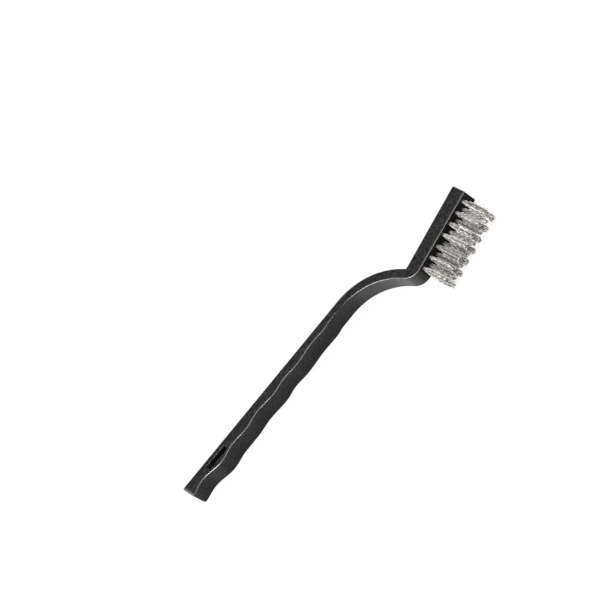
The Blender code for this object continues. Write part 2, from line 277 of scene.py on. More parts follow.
class HandleSettings(bpy.types.PropertyGroup):
    """Shape and finish of the moulded handle."""

    edge_radius: FloatProperty(
        name="Edge Radius",
        description="Radius of the widest rounded edge, at the butt",
        default=EDGE_RADIUS,
        min=0.1 * MM,
        max=3.0 * MM,
        unit="LENGTH",
    )
    color: FloatVectorProperty(
        name="Plastic Color",
        description="Colour of the moulded plastic",
        default=(0.016, 0.016, 0.0162),
        subtype="COLOR",
        size=3,
        min=0.0,
        max=1.0,
    )
    roughness: FloatProperty(
        name="Roughness",
        description="How dull the moulded skin is",
        default=0.3,
        min=0.05,
        max=1.0,
        subtype="FACTOR",
    )
    speckle: FloatProperty(
        name="Speckle",
        description="How far the tone of the flecks in the grain swings to each side",
        default=1.0,
        min=0.0,
        max=1.0,
        subtype="FACTOR",
    )
    grain_depth: FloatProperty(
        name="Grain Depth",
        description="Depth of the fine moulded grain",
        default=0.006 * MM,
        min=0.0,
        max=0.05 * MM,
        unit="LENGTH",
    )


class TuftSettings(bpy.types.PropertyGroup):
    """Shape and finish of the wire tufts."""

    wire_diameter: FloatProperty(
        name="Wire Diameter",
        description="Thickness of one wire",
        default=0.32 * MM,
        min=0.1 * MM,
        max=0.4 * MM,
        unit="LENGTH",
    )
    crimp_height: FloatProperty(
        name="Crimp Height",
        description="How far the crimp swings to each side",
        default=0.19 * MM,
        min=0.0,
        max=0.4 * MM,
        unit="LENGTH",
    )
    crimp_length: FloatProperty(
        name="Crimp Length",
        description="Length of one wave of the crimp",
        default=3.0 * MM,
        min=1.0 * MM,
        max=8.0 * MM,
        unit="LENGTH",
    )
    unevenness: FloatProperty(
        name="Uneven Length",
        description="How much the wires of a tuft differ in length",
        default=0.3 * MM,
        min=0.0,
        max=1.5 * MM,
        unit="LENGTH",
    )
    color: FloatVectorProperty(
        name="Wire Color",
        description="Colour of the bright drawn steel",
        default=(0.61, 0.592, 0.563),
        subtype="COLOR",
        size=3,
        min=0.0,
        max=1.0,
    )
    cut_color: FloatVectorProperty(
        name="Cut End Color",
        description="Colour of the dark cut ends",
        default=(0.04, 0.038, 0.035),
        subtype="COLOR",
        size=3,
        min=0.0,
        max=1.0,
    )
    roughness: FloatProperty(
        name="Roughness",
        description="How dull the drawn wire is",
        default=0.42,
        min=0.05,
        max=1.0,
        subtype="FACTOR",
    )


class AnchorSettings(bpy.types.PropertyGroup):
    """Finish of the anchor strips."""

    color: FloatVectorProperty(
        name="Strip Color",
        description="Colour of the rolled metal strip",
        default=(0.45, 0.45, 0.46),
        subtype="COLOR",
        size=3,
        min=0.0,
        max=1.0,
    )
    roughness: FloatProperty(
        name="Roughness",
        description="How dull the rolled strip is",
        default=0.42,
        min=0.05,
        max=1.0,
        subtype="FACTOR",
    )


class StudioSettings(bpy.types.PropertyGroup):
    """Floor and light."""

    floor_color: FloatVectorProperty(
        name="Floor Color",
        description="Colour of the floor",
        default=(0.88, 0.88, 0.88),
        subtype="COLOR",
        size=3,
        min=0.0,
        max=1.0,
    )
    floor_size: FloatProperty(
        name="Floor Size",
        description="Length of each side of the floor",
        default=4.0,
        min=0.5,
        unit="LENGTH",
    )
    shadow_share: FloatProperty(
        name="Shadow Share",
        description="How much of the floor's own shading the camera sees over plain white",
        default=0.14,
        min=0.0,
        max=1.0,
        subtype="FACTOR",
    )
    mirror_share: FloatProperty(
        name="Mirror Share",
        description="How much of the floor's own shading shows in reflections",
        default=0.95,
        min=0.0,
        max=1.0,
        subtype="FACTOR",
    )
    room_light: FloatProperty(
        name="Room Light",
        description="Strength of the light that the room throws on dull surfaces",
        default=0.45,
        min=0.0,
    )
    main_light: FloatProperty(
        name="Main Light",
        description="Brightness of the broad softbox above the camera",
        default=10.2,
        min=0.0,
    )
    front_light: FloatProperty(
        name="Front Light",
        description="Brightness of the low strip light before the bristles",
        default=8.5,
        min=0.0,
    )
    left_light: FloatProperty(
        name="Left Light",
        description="Brightness of the low strip lights off the butt",
        default=27.0,
        min=0.0,
    )
    back_light: FloatProperty(
        name="Back Light",
        description="Brightness of the softboxes behind the brush, which the wires catch",
        default=4.0,
        min=0.0,
    )


def arc(centre, radius, start, turn, steps):
    """Points along an arc from the angle start through the angle turn, both ends included."""
    return [centre + direction(start + turn * i / steps) * radius for i in range(steps + 1)]


def direction(angle):
    """Unit vector at an angle from X."""
    return Vector((math.cos(angle), math.sin(angle)))


def cross_2d(a, b):
    """Signed area between two vectors."""
    return a.x * b.y - a.y * b.x


def meeting_point(point_a, along_a, point_b, along_b):
    """Where two lines cross."""
    reach = cross_2d(point_b - point_a, along_b) / cross_2d(along_a, along_b)
    return point_a + along_a * reach


def head_corners():
    """Corners of the head block: neck corner, back of the tip and front of the tip."""
    centre = Vector((BACK_LENGTH, -NECK_RADIUS))
    neck_corner = centre + direction(math.pi / 2 - NECK_TURN) * NECK_RADIUS
    back = direction(HEAD_TILT)
    tip_back = neck_corner + back * HEAD_LENGTH
    tip_front = tip_back + Vector((back.y, -back.x)) * HEAD_DEPTH_TIP
    return neck_corner, tip_back, tip_front


def front_face_angle():
    """Direction of the tufted face, which closes on the back towards the heel."""
    return HEAD_TILT - math.atan2(HEAD_DEPTH_TIP - HEAD_DEPTH_HEEL, HEAD_LENGTH)


def wave_spans():
    """Troughs and crests of the finger grip from the butt to the neck, in neighbouring pairs."""
    stations = [(BUTT_DEPTH * math.tan(BUTT_RAKE), BUTT_DEPTH, 0.0)]
    stations.extend(GRIP_WAVE)
    stations.append((BACK_LENGTH - UNDERSIDE_LEAD, NECK_DEPTH, 0.0))
    return zip(stations, stations[1:])


def wave_blend(first, second, share):
    """Value part of the way from a trough to a crest, level at both."""
    return first + (second - first) * (1 - math.cos(math.pi * share)) / 2


def grip_points():
    """Finger grip from the neck to the butt, each trough and crest blended into the next."""
    points = []
    for (start, depth, _), (end, next_depth, _) in wave_spans():
        for i in range(WAVE_STEPS):
            share = i / WAVE_STEPS
            down = -wave_blend(depth, next_depth, share)
            points.append(Vector((start + (end - start) * share, down)))
    points.reverse()
    return points


def throat_points(underside_end, tip_front):
    """Fillet between the underside of the neck and the tufted face."""
    down = direction(-UNDERSIDE_TURN)
    along = direction(front_face_angle())
    corner = meeting_point(underside_end, down, tip_front, along)
    turn = UNDERSIDE_TURN + front_face_angle()
    start = corner - down * THROAT_RADIUS * math.tan(turn / 2)
    centre = start + Vector((-down.y, down.x)) * THROAT_RADIUS
    start_angle = math.atan2(start.y - centre.y, start.x - centre.x)
    return arc(centre, THROAT_RADIUS, start_angle, turn, THROAT_STEPS)


def bristle_side(tip_front):
    """Bristle side of the outline, from the front of the tip to the butt's front corner."""
    centre = Vector((BACK_LENGTH - UNDERSIDE_LEAD, -NECK_DEPTH - UNDERSIDE_RADIUS))
    underside = arc(centre, UNDERSIDE_RADIUS, math.pi / 2, -UNDERSIDE_TURN, NECK_STEPS)
    points = [tip_front]
    points.extend(reversed(throat_points(underside[-1], tip_front)))
    points.extend(reversed(underside))
    points.extend(grip_points())
    return points


def edge_share(point):
    """Share of the widest edge radius on the bristle side."""
    share = GRIP_SHARE
    for middle, length, change in EDGE_CHANGES:
        away = (point.x - middle) / length
        share += change * math.exp(-away * away)
    return share


def handle_outline():
    """Outline of the handle, clockwise from the butt's back corner, each point with the share
    of the edge radius that its side starts with. The butt's edges are rounded afterwards."""
    centre = Vector((BACK_LENGTH, -NECK_RADIUS))
    _, tip_back, tip_front = head_corners()
    back = [Vector((0.0, 0.0))]
    back.extend(arc(centre, NECK_RADIUS, math.pi / 2, -NECK_TURN, NECK_STEPS))
    back.append(tip_back)
    front = bristle_side(tip_front)
    outline = [(point, BACK_SHARE) for point in back]
    outline.extend((point, edge_share(point)) for point in front[:-1])
    outline.append((front[-1], 0.0))
    return outline


def corner_turn(before, point, after):
    """Angle that an outline turns through at a point."""
    return abs((point - before).angle_signed(after - point))


def head_frame(corner):
    """Frame at the front of the tip: X towards the tip, Y across the rows, Z out of the head."""
    along = direction(front_face_angle())
    return Matrix((
        (along.x, 0.0, along.y, corner.x),
        (along.y, 0.0, -along.x, corner.y),
        (0.0, 1.0, 0.0, corner.z),
        (0.0, 0.0, 0.0, 1.0),
    ))


def tuft_frames():
    """Name and frame of every tuft, with its origin in the tufted face, read from its anchor."""
    middle = ANCHOR_FOOT + ANCHOR_SIZE[2] / 2
    frames = []
    for row in ROWS:
        number = 1
        while f"anchor_{row}{number}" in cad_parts:
            low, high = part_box(f"anchor_{row}{number}")
            matrix = head_frame((low + high) / 2) @ Matrix.Translation((0.0, 0.0, -middle))
            frames.append((f"{row}{number}", matrix))
            number += 1
    return frames


def mesh_from_bmesh(name, shape):
    """Mesh data block from a bmesh, which is freed."""
    bmesh.ops.recalc_face_normals(shape, faces=shape.faces)
    mesh = bpy.data.meshes.new(name)
    shape.to_mesh(mesh)
    shape.free()
    return mesh


def add_object(name, data):
    """Object in the scene."""
    item = bpy.data.objects.new(name, data)
    bpy.context.scene.collection.objects.link(item)
    return item


def evaluated_mesh(item, name):
    """Copy of an object's mesh with its modifiers done."""
    bpy.context.view_layer.update()
    depsgraph = bpy.context.evaluated_depsgraph_get()
    mesh = bpy.data.meshes.new_from_object(item.evaluated_get(depsgraph))
    mesh.name = name
    return mesh


def join_rings(shape, lower, upper):
    """Band of faces between two rings that have as many corners."""
    faces = []
    for i, corner in enumerate(lower):
        after = (i + 1) % len(lower)
        faces.append(shape.faces.new((corner, lower[after], upper[after], upper[i])))
    return faces


def prism_mesh(outline, width):
    """Flat outline drawn out across the width, with the share of the radius on each edge."""
    shape = bmesh.new()
    weight = shape.edges.layers.float.new("bevel_weight_edge")
    low = [shape.verts.new((point.x, point.y, 0.0)) for point, _ in outline]
    high = [shape.verts.new((point.x, point.y, width)) for point, _ in outline]
    shape.faces.new(low)
    shape.faces.new(high)
    join_rings(shape, low, high)
    for i, (point, share) in enumerate(outline):
        after = (i + 1) % len(outline)
        shape.edges.get((low[i], low[after]))[weight] = share
        shape.edges.get((high[i], high[after]))[weight] = share
        if corner_turn(outline[i - 1][0], point, outline[after][0]) > CORNER_ANGLE:
            corner = TIP_CORNER_SHARE if point == head_corners()[1] else CORNER_SHARE
            shape.edges.get((low[i], high[i]))[weight] = corner
    return mesh_from_bmesh("handle_blank", shape)


def butt_waste_mesh(radius):
    """What the rounded edges across the butt leave out, one bar at each face."""
    centre = Vector((radius - CUT_OVERLAP, HANDLE_WIDTH - radius + CUT_OVERLAP))
    profile = arc(centre, radius, math.pi, -math.pi / 2, EDGE_STEPS)
    beyond = HANDLE_WIDTH + CUT_MARGIN
    profile.extend(Vector(place) for place in ((centre.x, beyond), (-CUT_MARGIN, beyond)))
    profile.append(Vector((-CUT_MARGIN, centre.y)))
    shape = bmesh.new()
    for at_top in (True, False):
        ends = []
        for across in (CUT_MARGIN, -BUTT_DEPTH - CUT_MARGIN):
            lean = -across * math.tan(BUTT_RAKE)
            heights = [point.y if at_top else HANDLE_WIDTH - point.y for point in profile]
            ends.append([
                shape.verts.new((point.x + lean, across, height))
                for point, height in zip(profile, heights)
            ])
        for end in ends:
            shape.faces.new(end)
        join_rings(shape, *ends)
    return mesh_from_bmesh("butt_waste", shape)


def slot_ring(height, growth):
    """Outline of the hanging slot at a height, with round corners, grown by a rim."""
    low = Vector((SLOT_START + SLOT_CORNER, -SLOT_DEPTH - SLOT_WIDTH / 2 + SLOT_CORNER))
    high = Vector((
        SLOT_START + SLOT_LENGTH - SLOT_CORNER,
        -SLOT_DEPTH + SLOT_WIDTH / 2 - SLOT_CORNER,
    ))
    centres = (high, Vector((low.x, high.y)), low, Vector((high.x, low.y)))
    ring = []
    for quarter, centre in enumerate(centres):
        start = quarter * math.pi / 2
        corner = arc(centre, SLOT_CORNER + growth, start, math.pi / 2, SLOT_STEPS)
        ring.extend(Vector((point.x, point.y, height)) for point in corner)
    return ring


def slot_mesh():
    """Slot right through the bar, with a rounded rim at both faces."""
    rim = []
    for i in range(SLOT_STEPS + 1):
        angle = math.pi / 2 * i / SLOT_STEPS
        rim.append((SLOT_RIM * (1 - math.sin(angle)), SLOT_RIM * (1 - math.cos(angle))))
    levels = [(-CUT_MARGIN, SLOT_RIM)]
    levels.extend((inset, growth) for inset, growth in sorted(rim))
    levels.extend((HANDLE_WIDTH - inset, growth) for inset, growth in sorted(rim, reverse=True))
    levels.append((HANDLE_WIDTH + CUT_MARGIN, SLOT_RIM))
    shape = bmesh.new()
    loops = [[shape.verts.new(point) for point in slot_ring(*level)] for level in levels]
    shape.faces.new(loops[0])
    shape.faces.new(loops[-1])
    for lower, upper in zip(loops, loops[1:]):
        join_rings(shape, lower, upper)
    return mesh_from_bmesh("hanging_slot", shape)


def holes_mesh(frames):
    """Round tuft holes."""
    shape = bmesh.new()
    depth = HOLE_DEPTH + CUT_MARGIN
    for _, matrix in frames:
        lift = Matrix.Translation((0.0, 0.0, depth / 2 - HOLE_DEPTH))
        bmesh.ops.create_cone(
            shape, cap_ends=True, segments=HOLE_SIDES, radius1=HOLE_DIAMETER / 2,
            radius2=HOLE_DIAMETER / 2, depth=depth, matrix=matrix @ lift,
        )
    return mesh_from_bmesh("tuft_holes", shape)


def pockets_mesh(frames):
    """Slits that the anchor strips bite into the walls of their holes."""
    shape = bmesh.new()
    size = [side + 2 * FIT_GAP for side in ANCHOR_SIZE]
    for _, matrix in frames:
        lift = Matrix.Translation((0.0, 0.0, ANCHOR_FOOT + ANCHOR_SIZE[2] / 2))
        stretch = Matrix.Diagonal((*size, 1.0))
        bmesh.ops.create_cube(shape, size=1.0, matrix=matrix @ lift @ stretch)
    return mesh_from_bmesh("anchor_pockets", shape)


def cut_away(item, cutters):
    """Cut other shapes from an object and remove them."""
    for cutter in cutters:
        boolean = item.modifiers.new(cutter.name, "BOOLEAN")
        boolean.operation = "DIFFERENCE"
        boolean.solver = "EXACT"
        boolean.object = cutter
    mesh = evaluated_mesh(item, item.name)
    item.modifiers.clear()
    item.data = mesh
    for cutter in cutters:
        bpy.data.objects.remove(cutter, do_unlink=True)


def keep_flats_flat(item):
    """Smooth shading that large flat faces hold level."""
    item.data.shade_smooth()
    item.data.set_sharp_from_angle(angle=SMOOTH_ANGLE)
    normals = item.modifiers.new("weighted_normals", "WEIGHTED_NORMAL")
    normals.mode = "FACE_AREA"
    normals.keep_sharp = True
    normals.weight = 50


def on_slot(spot):
    """Whether a point of the bar lies on the slot's wall or rim."""
    margin = SLOT_RIM + CUT_OVERLAP
    along = abs(spot.x - SLOT_START - SLOT_LENGTH / 2) < SLOT_LENGTH / 2 + margin
    return along and abs(spot.y + SLOT_DEPTH) < SLOT_WIDTH / 2 + margin


def lean_grip(mesh, corner):
    """Move the wall of the grip out towards its low face, and leave the slot where it is."""
    for vert in mesh.vertices:
        spot = vert.co - corner
        for (start, depth, lean), (end, next_depth, next_lean) in wave_spans():
            if not start <= spot.x < end or on_slot(spot):
                continue
            share = (spot.x - start) / (end - start)
            if spot.y < LEAN_REACH - wave_blend(depth, next_depth, share):
                out = wave_blend(lean, next_lean, share)
                vert.co.y -= out * (1 - spot.z / HANDLE_WIDTH)


def build_handle(settings):
    """Handle and head in one moulding, with the slot, the tuft holes and the anchor slits, and
    the place of its outline's corner."""
    handle = add_object("moulded_handle", prism_mesh(handle_outline(), HANDLE_WIDTH))
    bevel = handle.modifiers.new("rounded_edges", "BEVEL")
    bevel.width = settings.edge_radius
    bevel.segments = EDGE_STEPS
    bevel.limit_method = "WEIGHT"
    bevel.use_clamp_overlap = False
    cut_away(handle, [
        add_object("slot_cutter", slot_mesh()),
        add_object("butt_cutter", butt_waste_mesh(settings.edge_radius)),
    ])

    corners = [vert.co for vert in handle.data.vertices]
    low_x = min(corner.x for corner in corners)
    high_y = max(corner.y for corner in corners)
    place = Vector((HANDLE_BOX[0].x - low_x, HANDLE_BOX[1].y - high_y, HANDLE_BOX[0].z))
    handle.data.transform(Matrix.Translation(place))

    frames = tuft_frames()
    cut_away(handle, [
        add_object("hole_cutter", holes_mesh(frames)),
        add_object("pocket_cutter", pockets_mesh(frames)),
    ])
    lean_grip(handle.data, place)
    keep_flats_flat(handle)
    return handle, place


def ring_places():
    """Places of the wires in a round bundle, as shares of the outer ring's radius."""
    places = []
    for ring, count in enumerate(WIRE_RINGS):
        radius = ring / (len(WIRE_RINGS) - 1)
        for i in range(count):
            angle = 2 * math.pi * (i + ring / 4) / count
            places.append(direction(angle) * radius)
    return places


def wire_path(place, full_length, dice, settings):
    """Stations of one crimped wire, from the bundle in the hole to its cut end."""
    root = place * (BUNDLE_RADIUS - settings.wire_diameter / 2)
    swerve = Matrix.Rotation(dice.uniform(-1, 1) * TIP_SWERVE, 2) @ place
    wander = Vector((dice.uniform(-1, 1), dice.uniform(-1, 1))) * TIP_WANDER
    tip = Vector((swerve.x * TIP_REACH_ALONG, swerve.y * TIP_REACH_ACROSS)) + wander
    length = full_length - WIRE_CROWN * place.length_squared
    length += dice.uniform(-1, 1) * settings.unevenness
    plane = direction(dice.uniform(0, 2 * math.pi))
    phase = dice.uniform(0, 2 * math.pi)
    pitch = settings.crimp_length * dice.uniform(*CRIMP_LENGTHS)
    height = settings.crimp_height * dice.uniform(*CRIMP_HEIGHTS)
    steps = round((length - WIRE_START) / WIRE_STEP)
    points = []
    for i in range(steps + 1):
        level = WIRE_START + (length - WIRE_START) * i / steps
        above = max(level, 0.0)
        flare = 1 - math.exp(-(above / FLARE_LENGTH) ** FLARE_POWER)
        flare *= 1 + BELLY * math.sin(math.pi * above / length)
        swing = height * min(above / CRIMP_START, 1.0)
        spread = MOUTH_SPREAD * (1 - math.exp(-above / MOUTH_LENGTH))
        side = root.lerp(tip, flare) + place * spread * (1 - flare)
        side += plane * swing * math.sin(2 * math.pi * level / pitch + phase)
        points.append(Vector((side.x, side.y, level)))
    return points


def between(limits, share):
    """Value part of the way between two limits."""
    return limits[0] + (limits[1] - limits[0]) * share


def add_wire(shape, layers, points, radius, end_darkening, dice):
    """Round wire through its stations, with its ends closed and the outer one cut aslant."""
    slant = direction(dice.uniform(0, 2 * math.pi)) * END_CUT * radius
    tone = dice.random()
    dark = between(DARK_END_LENGTH, end_darkening)
    depth = between(DARK_END_DEPTH, end_darkening)
    end = points[-1].z
    rings = []
    for i, point in enumerate(points):
        before = points[max(i - 1, 0)]
        after = points[min(i + 1, len(points) - 1)]
        along = (after - before).normalized()
        side = Vector((0.0, 1.0, 0.0)).cross(along).normalized()
        over = along.cross(side)
        ring = []
        for corner in range(WIRE_SIDES):
            turn = direction(2 * math.pi * corner / WIRE_SIDES)
            spot = point + (side * turn.x + over * turn.y) * radius
            if i == len(points) - 1:
                spot.z += turn.dot(slant)
            vert = shape.verts.new(spot)
            vert[layers["wire_along"]] = point.z / MM
            vert[layers["wire_around"]] = corner / WIRE_SIDES
            vert[layers["wire_tone"]] = tone
            back = (end - point.z) / (dark * MM)
            vert[layers["wire_cut"]] = depth * max(0.0, 1.0 - back * back)
            ring.append(vert)
        rings.append(ring)
    for lower, upper in zip(rings, rings[1:]):
        for face in join_rings(shape, lower, upper):
            face.smooth = True
    shape.faces.new(reversed(rings[0]))
    shape.faces.new(rings[-1])


def bundle_mesh():
    """Folded wires, packed in the hole round the anchor strip, below where the wires part."""
    height = BUNDLE_TOP + HOLE_DEPTH - FIT_GAP
    shape = bmesh.new()
    bmesh.ops.create_cone(
        shape, cap_ends=True, segments=BUNDLE_SIDES, radius1=BUNDLE_RADIUS,
        radius2=BUNDLE_RADIUS, depth=height,
        matrix=Matrix.Translation((0.0, 0.0, BUNDLE_TOP - height / 2)),
    )
    bundle = add_object("folded_bundle", mesh_from_bmesh("folded_bundle", shape))
    cut_away(bundle, [add_object("strip_cutter", pockets_mesh([("", Matrix.Identity(4))]))])
    mesh = bundle.data
    bpy.data.objects.remove(bundle, do_unlink=True)
    return mesh


def build_tuft(tag, matrix, bundle, settings):
    """One tuft of crimped wires, which spread from their folded bundle."""
    dice = random.Random(f"tuft {tag}")
    shape = bmesh.new()
    shape.from_mesh(bundle)
    layers = {name: shape.verts.layers.float.new(name) for name in WIRE_FIELDS}
    darkest_spot = direction(dice.uniform(0, 2 * math.pi)) * DARK_END_PLACE
    length = WIRE_LENGTH
    if tag.startswith(MIDDLE_ROW):
        length += MIDDLE_ROW_EXTRA
    for place in ring_places():
        points = wire_path(place, length, dice, settings)
        end_darkening = max(0.0, 1 - ((place - darkest_spot).length / DARK_END_REACH) ** 2)
        add_wire(shape, layers, points, settings.wire_diameter / 2, end_darkening, dice)
    mesh = mesh_from_bmesh(f"wires_{tag}", shape)
    mesh.transform(matrix)
    mesh.set_sharp_from_angle(angle=WIRE_SHARP_ANGLE)
    return add_object(f"wires_{tag}", mesh)


def new_group(name, inputs, outputs):
    """Empty shader node group, with what it is given and the node where it ends. Its sockets
    are numbers, but for those that hold a colour."""
    group = bpy.data.node_groups.new(name, "ShaderNodeTree")
    for side, labels in (("INPUT", inputs), ("OUTPUT", outputs)):
        for label in labels:
            kind = "NodeSocketColor" if label == "Color" else "NodeSocketFloat"
            socket = group.interface.new_socket(name=label, in_out=side, socket_type=kind)
            if side == "INPUT":
                socket.default_value = inputs[label]
    given = group.nodes.new("NodeGroupInput").outputs
    return group, given, group.nodes.new("NodeGroupOutput")


def feed(tree, node, values):
    """Bring links or plain values to a node's sockets."""
    for name, value in values.items():
        if isinstance(value, bpy.types.NodeSocket):
            tree.links.new(value, node.inputs[name])
        else:
            node.inputs[name].default_value = value


def add_node(tree, kind, values=None, **settings):
    """Node with its settings, and the links or values of its sockets."""
    node = tree.nodes.new(kind)
    for name, value in settings.items():
        setattr(node, name, value)
    feed(tree, node, values or {})
    return node


def add_math(tree, operation, *values):
    """Math node between links or numbers."""
    node = add_node(tree, "ShaderNodeMath", dict(enumerate(values)), operation=operation)
    return node.outputs[0]


def map_range(tree, value, limits, results):
    """Value brought from between two limits to between two results."""
    node = add_node(tree, "ShaderNodeMapRange", {
        "Value": value,
        "From Min": limits[0],
        "From Max": limits[1],
        "To Min": results[0],
        "To Max": results[1],
    })
    return node.outputs["Result"]


def add_mix(tree, factor, first, second):
    """Mix of a linked colour and a plain one, by a linked factor."""
    node = add_node(tree, "ShaderNodeMix", data_type="RGBA")
    sockets = {item.identifier: item for item in (*node.inputs, *node.outputs)}
    tree.links.new(factor, sockets["Factor_Float"])
    tree.links.new(first, sockets["A_Color"])
    sockets["B_Color"].default_value = (*second, 1.0)
    return sockets["Result_Color"]


def scale_color(tree, color, tone):
    """Colour made lighter or darker by a factor."""
    node = add_node(tree, "ShaderNodeVectorMath", {0: color, "Scale": tone}, operation="SCALE")
    return node.outputs[0]


def add_noise(tree, scale, detail, roughness):
    """Noise over the object's own space."""
    noise = add_node(tree, "ShaderNodeTexNoise", {
        "Vector": add_node(tree, "ShaderNodeTexCoord").outputs["Object"],
        "Scale": scale,
        "Detail": detail,
        "Roughness": roughness,
    })
    return noise.outputs[0]


def add_bump(tree, height, distance):
    """Normal that a height bends."""
    bump = add_node(tree, "ShaderNodeBump", {"Height": height, "Distance": distance})
    return bump.outputs["Normal"]


def make_mottle_group():
    """Cloudy patches: a colour and a roughness that drift over the surface."""
    group, given, leave = new_group("surface_mottle", {
        "Color": (0.5, 0.5, 0.5, 1.0),
        "Tone Drift": 0.2,
        "Roughness": 0.4,
        "Roughness Drift": 0.1,
        "Patches per Metre": 200.0,
    }, ("Color", "Roughness"))
    cloud = add_noise(group, given["Patches per Metre"], 5.0, 0.6)
    drift = add_math(group, "SUBTRACT", cloud, 0.5)
    tone = add_math(group, "MULTIPLY", drift, given["Tone Drift"])
    tone = add_math(group, "ADD", tone, 1.0)
    rough = add_math(group, "MULTIPLY", drift, given["Roughness Drift"])
    feed(group, leave, {
        "Color": scale_color(group, given["Color"], tone),
        "Roughness": add_math(group, "ADD", rough, given["Roughness"]),
    })
    return group


def make_grain_group():
    """Fine pebbled grain over a slow waviness, as a height, and the grain's crests as a mask."""
    group, given, leave = new_group("fine_grain", {
        "Grains per Metre": 3000.0,
        "Waves per Metre": 150.0,
        "Wave Share": 1.0,
    }, ("Height", "Flecks"))
    fine = add_noise(group, given["Grains per Metre"], 2.0, 0.5)
    slow = add_noise(group, given["Waves per Metre"], 1.0, 0.4)
    waves = add_math(group, "MULTIPLY", slow, given["Wave Share"])
    feed(group, leave, {
        "Height": add_math(group, "ADD", fine, waves),
        "Flecks": map_range(group, fine, FLECK_RANGE, (0.0, 1.0)),
    })
    return group


def make_line_group():
    """Fine lines left by drawing or rolling: a mask and a height that run along the metal."""
    group, given, leave = new_group("drawn_lines", {
        "Along": 0.0,
        "Around": 0.0,
        "Lines": 8.0,
        "Streak": 0.4,
    }, ("Mask", "Height"))
    place = add_node(group, "ShaderNodeCombineXYZ", {
        "X": add_math(group, "MULTIPLY", given["Along"], given["Streak"]),
        "Y": add_math(group, "MULTIPLY", given["Around"], given["Lines"]),
    })
    lines = add_node(group, "ShaderNodeTexNoise", {
        "Vector": place.outputs[0],
        "Scale": 1.0,
        "Detail": 3.0,
    })
    feed(group, leave, {"Mask": lines.outputs[0], "Height": lines.outputs[0]})
    return group


def shared_group(name):
    """Shader node group by name, made once."""
    makers = {
        "surface_mottle": make_mottle_group,
        "fine_grain": make_grain_group,
        "drawn_lines": make_line_group,
    }
    return bpy.data.node_groups.get(name) or makers[name]()


def add_group(tree, name, values):
    """What a shared group puts out, placed in a material with its own values."""
    return add_node(tree, "ShaderNodeGroup", values, node_tree=shared_group(name)).outputs


def new_material(name):
    """Material with its Principled shader."""
    material = bpy.data.materials.new(name)
    material.use_nodes = True
    return material, material.node_tree, material.node_tree.nodes["Principled BSDF"]


def slope_mask(tree, level, middle, reach):
    """Mask of the surfaces that lie about as level as asked."""
    off = add_math(tree, "DIVIDE", add_math(tree, "SUBTRACT", level, middle), reach)
    fall = add_math(tree, "SUBTRACT", 1.0, add_math(tree, "MULTIPLY", off, off))
    return add_math(tree, "MAXIMUM", fall, 0.0)


def split_vector(tree, vector):
    """Parts of a vector."""
    return add_node(tree, "ShaderNodeSeparateXYZ", {0: vector}).outputs


def edge_mask(tree, slope, spot):
    """Mask of what handling has polished: a narrow band on the long edges, a wide and weaker one
    at the butt, and the walls of the neck."""
    level = add_math(tree, "ABSOLUTE", slope["Z"])
    turned = add_math(tree, "MULTIPLY", slope["X"], -1.0)
    walls = map_range(tree, turned, NECK_POLISH_TURN, (0.0, NECK_POLISH_SHARE))
    long_edges = slope_mask(tree, level, POLISH_LEVEL, POLISH_RANGE)
    start = [HANDLE_BOX[0].x + distance for distance in WORN_START]
    worn = map_range(tree, spot["X"], start, (WORN_SHARE, 1.0))
    long_edges = add_math(tree, "MULTIPLY", long_edges, worn)
    long_edges = add_math(tree, "MAXIMUM", long_edges, walls)
    butt_edges = slope_mask(tree, level, BUTT_POLISH_LEVEL, BUTT_POLISH_RANGE)
    butt_edges = add_math(tree, "MULTIPLY", butt_edges, BUTT_POLISH_SHARE)
    at_butt = add_math(tree, "LESS_THAN", spot["X"], HANDLE_BOX[0].x + BUTT_POLISH_LENGTH)
    kept = add_math(tree, "MULTIPLY", long_edges, add_math(tree, "SUBTRACT", 1.0, at_butt))
    return add_math(tree, "ADD", kept, add_math(tree, "MULTIPLY", butt_edges, at_butt))


def pit_mask(tree, place, spot, corner):
    """Mask of the slot's inside and of the head's face between the tufts."""
    middle = corner + Vector((SLOT_START + SLOT_LENGTH / 2, -SLOT_DEPTH, 0.0))
    along = add_math(tree, "COMPARE", spot["X"], middle.x, SLOT_LENGTH / 2 + PIT_MARGIN)
    across = add_math(tree, "COMPARE", spot["Y"], middle.y, SLOT_WIDTH / 2 + PIT_MARGIN)
    in_slot = add_math(tree, "MULTIPLY", along, across)

    matrix = tuft_frames()[0][1]
    out = matrix.col[2].xyz
    dots = {}
    for name in ("Object", "Normal"):
        values = {0: place.outputs[name], 1: out}
        node = add_node(tree, "ShaderNodeVectorMath", values, operation="DOT_PRODUCT")
        dots[name] = node.outputs["Value"]
    face = matrix.translation.dot(out) - PIT_MARGIN
    proud = add_math(tree, "GREATER_THAN", dots["Object"], face)
    facing = add_math(tree, "GREATER_THAN", dots["Normal"], math.cos(FACE_SPREAD))
    on_face = add_math(tree, "MULTIPLY", proud, facing)
    return add_math(tree, "MAXIMUM", in_slot, on_face)


def painted_shade_mask(tree, slope, spot, pits):
    """How much of the plastic's colour the painted shade leaves: less low on the walls, least
    in the pits.
    """
    up = add_math(tree, "DIVIDE", spot["Z"], HANDLE_WIDTH)
    low = add_math(tree, "SUBTRACT", 1.0, up)
    upright = add_math(tree, "MULTIPLY", slope["Y"], slope["Y"])
    walls = add_math(tree, "MULTIPLY", add_math(tree, "MULTIPLY", low, upright), WALL_PAINTED_SHADE)
    unshaded = add_math(tree, "SUBTRACT", 1.0, walls)
    left = add_math(tree, "SUBTRACT", 1.0, add_math(tree, "MULTIPLY", pits, PIT_PAINTED_SHADE))
    return add_math(tree, "MULTIPLY", unshaded, left)


